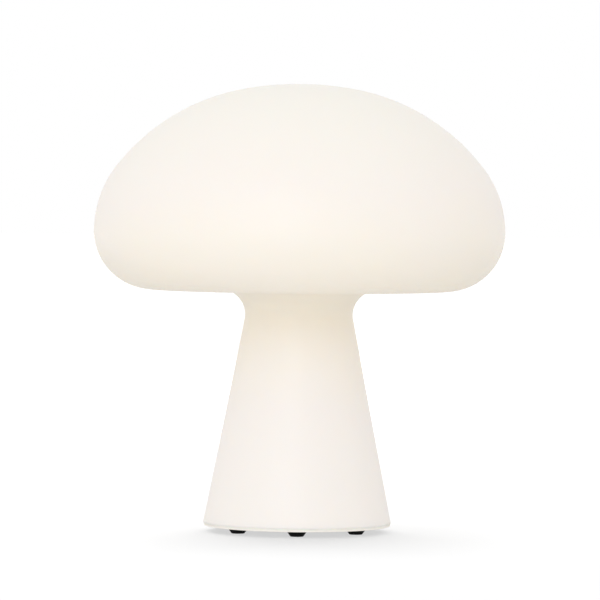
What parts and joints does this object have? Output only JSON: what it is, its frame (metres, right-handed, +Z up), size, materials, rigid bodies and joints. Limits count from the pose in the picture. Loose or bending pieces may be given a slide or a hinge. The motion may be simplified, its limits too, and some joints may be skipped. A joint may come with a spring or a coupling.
{
  "type": "portable table lamp",
  "caption": "Mushroom-shaped portable table lamp: blown opal glass cap and stem on a rubber-footed base with a push button and charging socket underneath.",
  "frame": {"origin": "on the resting surface, on the axis of the lamp", "axes": "+Z up along the lamp's axis, -Y towards the viewer of the picture, +X along the charging pocket"},
  "size_m": [0.225, 0.225, 0.245],
  "materials": {
    "opal_glass": "satin cream-white opal, opaque to the eye",
    "base_shell": "fine satin moulding",
    "silicone": "soft matt",
    "black_rubber": "matt black",
    "button_shell": "satin moulding",
    "white_plastic": "plain white moulding",
    "black_plastic": "plain black moulding",
    "steel": "zinc plated",
    "nickel": "rolled strip",
    "board": "solder mask",
    "ferrite": "moulded ferrite",
    "capacitor_can": "drawn can",
    "cell_wrap": "shrink sleeve",
    "spreader": "turned",
    "light_board": "white solder mask",
    "phosphor": "phosphor in silicone",
    "diffuser": "opal diffuser",
    "red_wire": "insulated wire",
    "black_wire": "insulated wire"
  },
  "bodies": {
    "lamp": {"glass_body": "opal_glass", "base_plate": "base_shell", "foot_gasket": "silicone", "bond_ring": "silicone", "foot_1": "black_rubber", "foot_2": "black_rubber", "foot_3": "black_rubber", "foot_4": "black_rubber", "foot_5": "black_rubber", "foot_6": "black_rubber", "mounting_ring": "white_plastic", "light_post": "white_plastic", "cell_tray_lower": "white_plastic", "cell_tray_upper": "white_plastic", "led_connector": "white_plastic", "battery_connector": "white_plastic", "tact_switch": "black_plastic", "socket_tongue": "black_plastic", "board_chips": "black_plastic", "base_screws": "steel", "board_screws": "steel", "post_screws": "steel", "head_screws": "steel", "charge_socket": "steel", "cell_strip_lower": "nickel", "cell_strip_upper": "nickel", "driver_board": "board", "power_coil": "ferrite", "capacitors": "capacitor_can", "battery_cell_1": "cell_wrap", "battery_cell_2": "cell_wrap", "heat_spreader": "spreader", "led_board": "light_board", "led_chips": "phosphor", "diffuser_dome": "diffuser", "led_lead_red": "red_wire", "battery_lead_red": "red_wire", "led_lead_black": "black_wire", "battery_lead_black": "black_wire"},
    "button": {"power_button": "button_shell", "switch_plunger": "white_plastic"}
  },
  "joints": [
    {"name": "button_press", "type": "slide", "parent": "lamp", "child": "button", "axis": [0, 0, 1], "range_m": [0, 0.0008], "stiffness_N_per_m": 1800, "springref_m": -0.0004}
  ]
}
